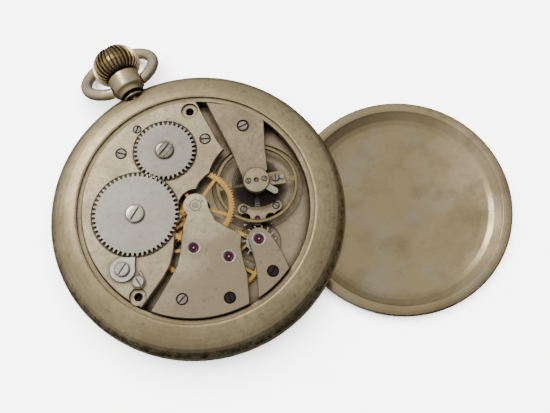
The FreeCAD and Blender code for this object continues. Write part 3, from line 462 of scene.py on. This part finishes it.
def plate(bm, outline, z0, z1):
    """Flat plate from a closed outline, in mm."""
    bottom = [bm.verts.new(at(x, y, z0)) for x, y in outline]
    face = bm.faces.new(bottom)
    moved = bmesh.ops.extrude_face_region(bm, geom=[face])["geom"]
    for v in moved:
        if isinstance(v, bmesh.types.BMVert):
            v.co.z += (z1 - z0) * MM


def sweep(bm, path, radius, sides):
    """Round wire along a list of points; radius(t) with t from 0 to 1."""
    count = len(path)
    rows = []
    normal = Vector((0, 0, 1))
    for i, p in enumerate(path):
        before = path[max(i - 1, 0)]
        after = path[min(i + 1, count - 1)]
        tangent = (after - before).normalized()
        side = tangent.cross(normal)
        if side.length < 1e-6:
            side = Vector((1, 0, 0))
        side.normalize()
        up = side.cross(tangent).normalized()
        r = radius(i / (count - 1)) * MM
        row = []
        for k in range(sides):
            a = 2 * math.pi * k / sides
            row.append(bm.verts.new(p + (side * math.cos(a) + up * math.sin(a)) * r))
        rows.append(row)
    for i in range(count - 1):
        for k in range(sides):
            m = (k + 1) % sides
            bm.faces.new([rows[i][k], rows[i][m], rows[i + 1][m], rows[i + 1][k]])
    bm.faces.new(rows[0][::-1])
    bm.faces.new(rows[-1])


# ---------------------------------------------------------------- case
def case_middle():
    """Ring round the movement: thin inner lip, broad rounded shoulder, plain flank."""
    bm = bmesh.new()
    profile = [(19.75, 4.95), (22.1, 4.95), (22.1, 6.2), (25.72, 6.2), (25.72, 6.75), (25.45, 7.55),
               (25.0, 8.15), (24.45, 8.6), (23.7, 8.95), (22.8, 9.27), (22.0, 9.47), (21.35, 9.58),
               (20.95, 9.62), (20.6, 9.56), (20.6, 9.2), (19.75, 9.2)]
    radii = [0, 0, 0, 0.06, 0.3, 0.6, 0.6, 0.9, 0.9, 1.0, 1.0, 0.4, 0.12, 0.05, 0.08, 0.05]
    lathe(bm, fillet(profile, radii), (0, 0), 360)
    finish_mesh("case_middle_turned", bm, "case", "case", ["case_middle"])


def bezel():
    """Front ring that holds the crystal, with a milled belt round its edge."""
    bm = bmesh.new()
    profile = [(20.75, 3.95), (20.75, 4.9), (22.15, 4.9), (22.15, 6.17), (25.86, 6.17), (25.96, 6.0),
               (25.96, 5.1), (25.8, 4.6), (25.4, 3.95), (24.7, 3.4), (23.7, 2.98), (22.6, 2.76),
               (21.5, 2.7), (20.95, 2.82), (20.7, 3.05), (20.7, 3.3), (21.3, 3.3), (21.3, 3.95)]
    radii = [0, 0, 0, 0, 0.04, 0.06, 0.1, 0.6, 0.6, 0.8, 0.8, 0.8, 0.5, 0.2, 0.1, 0, 0, 0]
    ribs = 330
    rib_depth, belt_z, belt_half = 0.075, 5.5, 0.62

    def milled(a, r, h):
        if r < 25.7 or h > 6.1:
            return r
        belt = max(0.0, 1.0 - abs(h - belt_z) / belt_half)
        return r - rib_depth * min(1.0, belt * 2) * (0.5 - 0.5 * math.cos(ribs * a))

    lathe(bm, fillet(profile, radii), (0, 0), ribs * 5, ripple=milled)
    finish_mesh("bezel_milled", bm, "case", "case", ["bezel"])


def back_cover():
    """Shallow dish with a sloping wall and a rounded rim; heights here start at the table."""
    bm = bmesh.new()
    table = DATUM / MM
    profile = [(0, 0.0), (9.0, 0.1), (14.0, 0.32), (17.0, 0.66), (18.6, 1.0), (19.5, 1.36),
               (20.05, 1.75), (20.3, 2.1), (20.3, 2.35), (20.05, 2.6), (19.5, 2.76), (19.0, 2.8),
               (18.55, 2.72), (18.3, 2.5), (17.9, 2.2), (17.1, 1.62), (16.2, 1.2), (15.0, 0.96),
               (13.0, 0.77), (9.0, 0.58), (0, 0.5)]
    radii = [0, 2, 2, 1.5, 1, 0.6, 0.3, 0.15, 0.1, 0.2, 0.4, 0.3, 0.15, 0.1, 0.5, 1.2, 1.5, 1.5, 2, 2, 0]
    shaped = [(r, h - table) for r, h in fillet(profile, radii)]
    lathe(bm, shaped, COVER, 256)
    finish_mesh("back_cover_dish", bm, "cover", "back_cover", ["back_cover"])


def crystal():
    """Domed crystal that the watch lies on."""
    bm = bmesh.new()
    profile = [(0, -1.4), (8.0, -1.4), (9.6, -1.15), (11.4, -0.5), (13.2, 0.32), (14.8, 1.0),
               (15.8, 1.38), (17.4, 1.92), (19.2, 2.55), (20.6, 3.05), (20.6, 3.34), (21.25, 3.34),
               (21.25, 3.9), (20.2, 3.9), (18.7, 3.4), (16.9, 2.8), (15.0, 2.1), (13.2, 1.38),
               (11.4, 0.5), (9.6, -0.16), (8.0, -0.4), (0, -0.4)]
    radii = [0, 0.4] + [2.0] * 7 + [0.1] * 4 + [0.3] + [2.0] * 7 + [0]
    lathe(bm, fillet(profile, radii), (0, 0), 180)
    finish_mesh("crystal_domed", bm, "glass", "case", ["crystal"])


def pendant():
    """Tube that carries the bow, a waisted neck and a half ring where it meets the case."""
    bm = bmesh.new()
    profile = [(1.1, 22.4), (1.1, 25.2), (2.2, 25.2), (2.3, 25.5), (2.42, 25.78), (2.66, 26.05),
               (2.86, 26.22), (2.95, 26.42), (2.95, 29.1), (2.8, 29.36), (0.8, 29.38), (0.8, 22.4)]
    radii = [0, 0, 0.05, 0.1, 0.2, 0.2, 0.05, 0.08, 0.3, 0.12, 0.05, 0]
    lathe(bm, fillet(profile, radii), (0, STEM_Z), 128, axis="Y")
    half_ring = [(1.3, 24.3), (1.82, 24.3), (1.94, 24.42), (1.94, 24.55), (1.82, 24.66), (1.3, 24.66)]
    corners = len(half_ring)
    steps = 40
    rows = []
    for i in range(steps + 1):
        a = math.pi * i / steps
        x, z = math.cos(a), math.sin(a)
        rows.append([bm.verts.new(at(r * x, y, STEM_Z + r * z)) for r, y in half_ring])
    for left, right in zip(rows, rows[1:]):
        for k in range(corners):
            m = (k + 1) % corners
            bm.faces.new([left[k], right[k], right[m], left[m]])
    bm.faces.new(rows[0][::-1])
    bm.faces.new(rows[-1])
    finish_mesh("pendant_tube", bm, "pendant", "case", ["pendant"])


def crown():
    """Onion crown with narrow ridges between wide hollows."""
    bm = bmesh.new()
    y = CROWN_Y
    ribs = 30
    outer = [(0.62, y + 1.6), (0.62, y + 0.02), (2.75, y + 0.02), (3.3, y + 0.15), (3.93, y + 0.6),
             (4.3, y + 1.25), (4.43, y + 2.0), (4.36, y + 2.9), (4.06, y + 3.8), (3.53, y + 4.6),
             (2.83, y + 5.25), (1.98, y + 5.7), (1.1, y + 5.92), (0, y + 5.98), (0, y + 1.6)]
    radii = [0, 0, 0.1, 0.5, 0.6, 0.8, 0.8, 0.8, 0.8, 0.8, 0.8, 0.6, 0.4, 0, 0]

    def ribbed(a, r, h):
        if h < y + 0.03 or r < 0.7:
            return r
        depth = 0.62 * min(1.0, max(0.0, (r - 1.0) / 1.9))
        wave = 0.5 - 0.5 * math.cos(ribs * a)
        return r - depth * min(1.0, 2.6 * wave) ** 0.8

    lathe(bm, fillet(outer, radii, steps=6), (0, STEM_Z), ribs * 14, axis="Y", ripple=ribbed)
    finish_mesh("crown_ribbed", bm, "crown", "crown", ["crown"], sharp_deg=60)


def bow():
    """Wire loop of three arcs, cut flat beside the pendant, with a pin in each end."""
    bm = bmesh.new()
    half, side_x, wire = 6.75, -0.5, 1.05
    pivot_x, cut_x, start_x = 2.98, 2.99, 2.0
    side_r = half - side_x
    shoulder = math.sqrt(side_r ** 2 - (pivot_x - side_x) ** 2)
    inside = math.acos((start_x - side_x) / side_r)
    flat = []
    for k in range(31):
        a = -inside * (1 - k / 30)
        flat.append(Vector((side_x + side_r * math.cos(a), shoulder + side_r * math.sin(a), 0)))
    for k in range(1, 49):
        a = math.radians(180 * k / 48)
        flat.append(Vector((half * math.cos(a), shoulder + half * math.sin(a), 0)))
    flat += [Vector((-v.x, v.y, 0)) for v in reversed(flat[:30])]
    tilt = Matrix.Rotation(math.radians(BOW_TILT), 4, "X")
    pivot = at(0, BOW_Y, STEM_Z)
    sweep(bm, [v * MM for v in flat], lambda t: wire * min(1.0, 0.93 + 0.6 * min(t, 1 - t)), 36)
    for sign in (1, -1):
        arm = [f for f in bm.faces if all(v.co.x * sign > 0 and v.co.y < 3 * MM for v in f.verts)]
        parts = arm + list({e for f in arm for e in f.edges}) + list({v for f in arm for v in f.verts})
        bmesh.ops.bisect_plane(bm, geom=parts, plane_co=(sign * cut_x * MM, 0, 0),
                               plane_no=(sign, 0, 0), clear_inner=True)
    bmesh.ops.holes_fill(bm, edges=[e for e in bm.edges if e.is_boundary], sides=0)
    for v in bm.verts:
        v.co = pivot + tilt @ v.co
    for sign in (1, -1):
        ends = [pivot + Vector((sign * x * MM, 0, 0)) for x in (2.2, 2.6, 3.0, 3.4)]
        sweep(bm, ends, lambda t: 0.55, 24)
    finish_mesh("bow_loop", bm, "bow", "bow", ["bow"], sharp_deg=50)


# ---------------------------------------------------------------- movement
def polar(place, r, deg):
    a = math.radians(deg)
    return (place[0] + r * math.cos(a), place[1] + r * math.sin(a))


def balance_wheel():
    """Plain rim on a hub with two waisted arms."""
    bm = bmesh.new()
    rim = [(6.52, 8.62), (7.05, 8.62), (7.14, 8.7), (7.14, 8.98), (7.04, 9.07), (6.62, 9.07),
           (6.52, 8.97)]
    lathe(bm, fillet(rim, 0.04), BALANCE, 240)
    hub = [(0.52, 8.85), (1.0, 8.85), (1.0, 9.1), (0.52, 9.1)]
    lathe(bm, fillet(hub, 0.04), BALANCE, 64)
    turn = Matrix.Rotation(math.radians(STUD_DEG), 4, "Z")
    middle = at(BALANCE[0], BALANCE[1], 0)
    for sign in (1, -1):
        edge = [(0.85, 0.42), (2.5, 0.27), (4.6, 0.27), (6.56, 0.42)]
        outline = [(x, -y) for x, y in edge] + edge[::-1]
        start = len(bm.verts)
        plate(bm, outline, 8.87, 9.05)
        bm.verts.ensure_lookup_table()
        for v in bm.verts[start:]:
            p = Vector((v.co.x * sign, v.co.y * sign, 0))
            v.co = Vector((0, 0, v.co.z)) + turn @ p + Vector((middle.x, middle.y, 0))
    finish_mesh("balance_rim", bm, "balance", "balance", ["balance_wheel"])


def hairspring():
    """Flat spiral from the collet out to the stud."""
    bm = bmesh.new()
    turns = 12
    samples = turns * 48
    inner_r, outer_r, half = 0.76, 4.4, 0.055
    low, high = 9.38, 9.57
    rows = []
    for i in range(samples + 1):
        t = i / samples
        deg = STUD_DEG - 360 * turns * (1 - t)
        r = inner_r + (outer_r - inner_r) * t
        inner = polar(BALANCE, r - half, deg)
        outer = polar(BALANCE, r + half, deg)
        rows.append([bm.verts.new(at(*inner, low)), bm.verts.new(at(*outer, low)),
                     bm.verts.new(at(*outer, high)), bm.verts.new(at(*inner, high))])
    for a, b in zip(rows, rows[1:]):
        for k in range(4):
            m = (k + 1) % 4
            bm.faces.new([a[k], a[m], b[m], b[k]])
    bm.faces.new(rows[0][::-1])
    bm.faces.new(rows[-1])
    collet = [(0.34, 9.33), (0.78, 9.33), (0.78, 9.6), (0.34, 9.6)]
    lathe(bm, fillet(collet, 0.04), BALANCE, 48)
    finish_mesh("hairspring_coil", bm, "blued", "case", ["hairspring"])


def jewels():
    """Cupped stones and the bright dished rings they sit in."""
    bm = bmesh.new()
    ring = bmesh.new()
    for place in (THIRD, FOURTH, ESCAPE):
        stone = [(0.2, 9.52), (0.79, 9.52), (0.79, 9.76), (0.7, 9.84), (0.5, 9.8), (0.34, 9.72),
                 (0.2, 9.66)]
        lathe(bm, fillet(stone, 0.04), place, 48)
        setting = [(0.8, 9.5), (1.2, 9.5), (1.2, 10.02), (1.16, 10.05), (1.08, 10.04), (0.84, 9.84),
                   (0.8, 9.8)]
        lathe(ring, fillet(setting, 0.03), place, 64)
    finish_mesh("jewel_stones", bm, "ruby", "case", ["train_jewels"])
    finish_mesh("jewel_rings", ring, "click", "case", ["jewel_settings"])


def ticks(bm, middle, outer, big, small):
    """Sixty printed marks up to the radius outer; big and small are (inner radius, half width)."""
    for i in range(60):
        inner, half = small if i % 5 else big
        a = math.radians(6 * i)
        out = Vector((math.sin(a), math.cos(a)))
        side = Vector((out.y, -out.x)) * half
        corners = [out * inner - side, out * inner + side, out * outer + side, out * outer - side]
        plate(bm, [tuple(Vector(middle) + c) for c in corners], 3.995, 4.03)


def dial():
    """Enamel dial on the hidden side, facing down, with ticks and hour numerals."""
    bm = bmesh.new()
    face = [(1.25, 4.02), (20.3, 4.02), (20.6, 4.2), (20.6, 4.48), (1.25, 4.48)]
    lathe(bm, fillet(face, 0.05), (0, 0), 180)
    finish_mesh("dial_face", bm, "enamel", "case", ["dial"])
    ink = bmesh.new()
    ticks(ink, (0, 0), 19.6, (18.3, 0.16), (18.9, 0.07))
    ticks(ink, FOURTH, 3.25, (2.6, 0.06), (2.95, 0.03))
    finish_mesh("dial_ticks", ink, "print", "case")
    for hour in range(1, 13):
        if hour == 6:
            continue
        text = bpy.data.curves.new("numeral", "FONT")
        text.body = str(hour)
        text.size = 3.6 * MM
        text.extrude = 0.012 * MM
        text.align_x = "CENTER"
        text.align_y = "CENTER"
        holder = bpy.data.objects.new("numeral", text)
        bpy.context.scene.collection.objects.link(holder)
        bpy.context.view_layer.update()
        mesh = bpy.data.meshes.new_from_object(holder)
        a = math.radians(30 * hour)
        place = Matrix.Translation(at(-15.6 * math.sin(a), 15.6 * math.cos(a), 4.0))
        mesh.transform(place @ Matrix.Rotation(math.pi, 4, "Y"))
        numeral = bpy.data.objects.new("dial_numeral_%d" % hour, mesh)
        bpy.context.scene.collection.objects.link(numeral)
        bpy.data.objects.remove(holder)
        mesh.materials.clear()
        mesh.materials.append(MATERIALS["print"])
        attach(numeral, "case")


case_middle()
bezel()
back_cover()
crystal()
pendant()
crown()
bow()
balance_wheel()
hairspring()
jewels()
dial()

use("plate", "barrel_bridge", "pallet_bridge", "balance_end_cap", "screw_sleeves")
use("bridge", "train_bridge", "escape_cock")
use("cock", "balance_cock")
# the main plate takes the darker, painted-shade copy of the plate nickel
use("shaded_plate", "main_plate")
use("ratchet", "ratchet_wheel")
use("crown_wheel", "crown_wheel")
use("click", "click")
use("bright_screw", "click_screws", "ratchet_screw")
use("steel", "click_spring", "regulator", "hairspring_stud", "escape_wheel", "crown_stem",
    "winding_stem", "winding_pinion", "barrel_arbor", "center_arbor", "third_arbor",
    "fourth_arbor", "escape_arbor", "pallet_fork", "balance_staff", "cannon_pinion")
use("screw", "crown_wheel_screw", "bridge_screws", "pallet_screws", "cap_screws", "stud_screw")
use("gilt", "center_wheel", "third_wheel", "fourth_wheel", "barrel_drum", "minute_wheel", "hour_wheel")
use("blued", "dark_screws", "case_screws", "hour_hand", "minute_hand", "seconds_hand", "mainspring")
use("ruby", "pallet_jewel", "pallet_stones", "impulse_pin")

# ---------------------------------------------------------------- stage, light and camera
FLOOR_HALF = 1.6             # metres
floor_mesh = bpy.data.meshes.new("floor")
floor_corners = [(x * FLOOR_HALF, y * FLOOR_HALF, 0) for x, y in ((-1, -1), (1, -1), (1, 1), (-1, 1))]
floor_mesh.from_pydata(floor_corners, [], [(0, 1, 2, 3)])
floor = bpy.data.objects.new("floor", floor_mesh)
bpy.context.scene.collection.objects.link(floor)
floor_mesh.materials.append(floor_paper())
floor.visible_glossy = False

# the room is brightest high up beyond the crown and darkest low down on the opposite side
SKY_TOWARD = (-0.16, 0.58, 0.80)
SKY_DARKEST, SKY_BRIGHTEST = 0.13, 0.98
world = bpy.data.worlds.new("studio")
bpy.context.scene.world = world
world.use_nodes = True
sky = world.node_tree
background = sky.nodes["Background"]
direction = sky.nodes.new("ShaderNodeTexCoord")
toward = sky.nodes.new("ShaderNodeVectorMath")
toward.operation = "DOT_PRODUCT"
toward.inputs[1].default_value = SKY_TOWARD
sky.links.new(direction.outputs["Generated"], toward.inputs[0])
glow = sky.nodes.new("ShaderNodeMapRange")
glow.inputs["From Min"].default_value = -0.30
glow.inputs["From Max"].default_value = 0.90
glow.inputs["To Min"].default_value = SKY_DARKEST
glow.inputs["To Max"].default_value = SKY_BRIGHTEST
sky.links.new(toward.outputs["Value"], glow.inputs["Value"])
sky.links.new(glow.outputs["Result"], background.inputs["Strength"])
background.inputs["Color"].default_value = (1.0, 0.985, 0.96, 1)


def softbox(name, place, target, width, height, power, color=(1, 1, 1), glossy=True):
    """Square or oblong lamp aimed at a target; lengths here are in metres."""
    data = bpy.data.lights.new(name, "AREA")
    data.shape = "RECTANGLE"
    data.size = width
    data.size_y = height
    data.energy = power
    data.color = color
    lamp = bpy.data.objects.new(name, data)
    bpy.context.scene.collection.objects.link(lamp)
    lamp.location = place
    lamp.visible_glossy = glossy
    lamp.rotation_euler = (Vector(target) - Vector(place)).to_track_quat("-Z", "Y").to_euler()


softbox("key", (-0.12, 0.38, 0.42), (0.01, 0, 0), 0.24, 0.24, 1.2, (1.0, 0.98, 0.94))
softbox("overhead", (0.0, 0.05, 0.80), (0.01, 0, 0), 0.9, 0.9, 60.0, glossy=False)

# the camera stands high above and a little beyond the edge opposite the crown, about 16 cm away
rotation = Vector((-0.31231, 0.05476, 0.51294))
turn = Matrix.Rotation(rotation.length, 4, rotation.normalized())
shift = Vector((-13.3632, -3.26415, -155.1244)) * MM
camera_data = bpy.data.cameras.new("camera")
camera_data.sensor_width = 36.0
camera_data.lens = 55.0968
camera_data.clip_start = 0.005
camera_data.clip_end = 10
camera = bpy.data.objects.new("camera", camera_data)
bpy.context.scene.collection.objects.link(camera)
camera.matrix_world = turn.to_3x3().transposed().to_4x4() @ Matrix.Translation(-shift)
bpy.context.scene.camera = camera

bpy.context.view_layer.update()
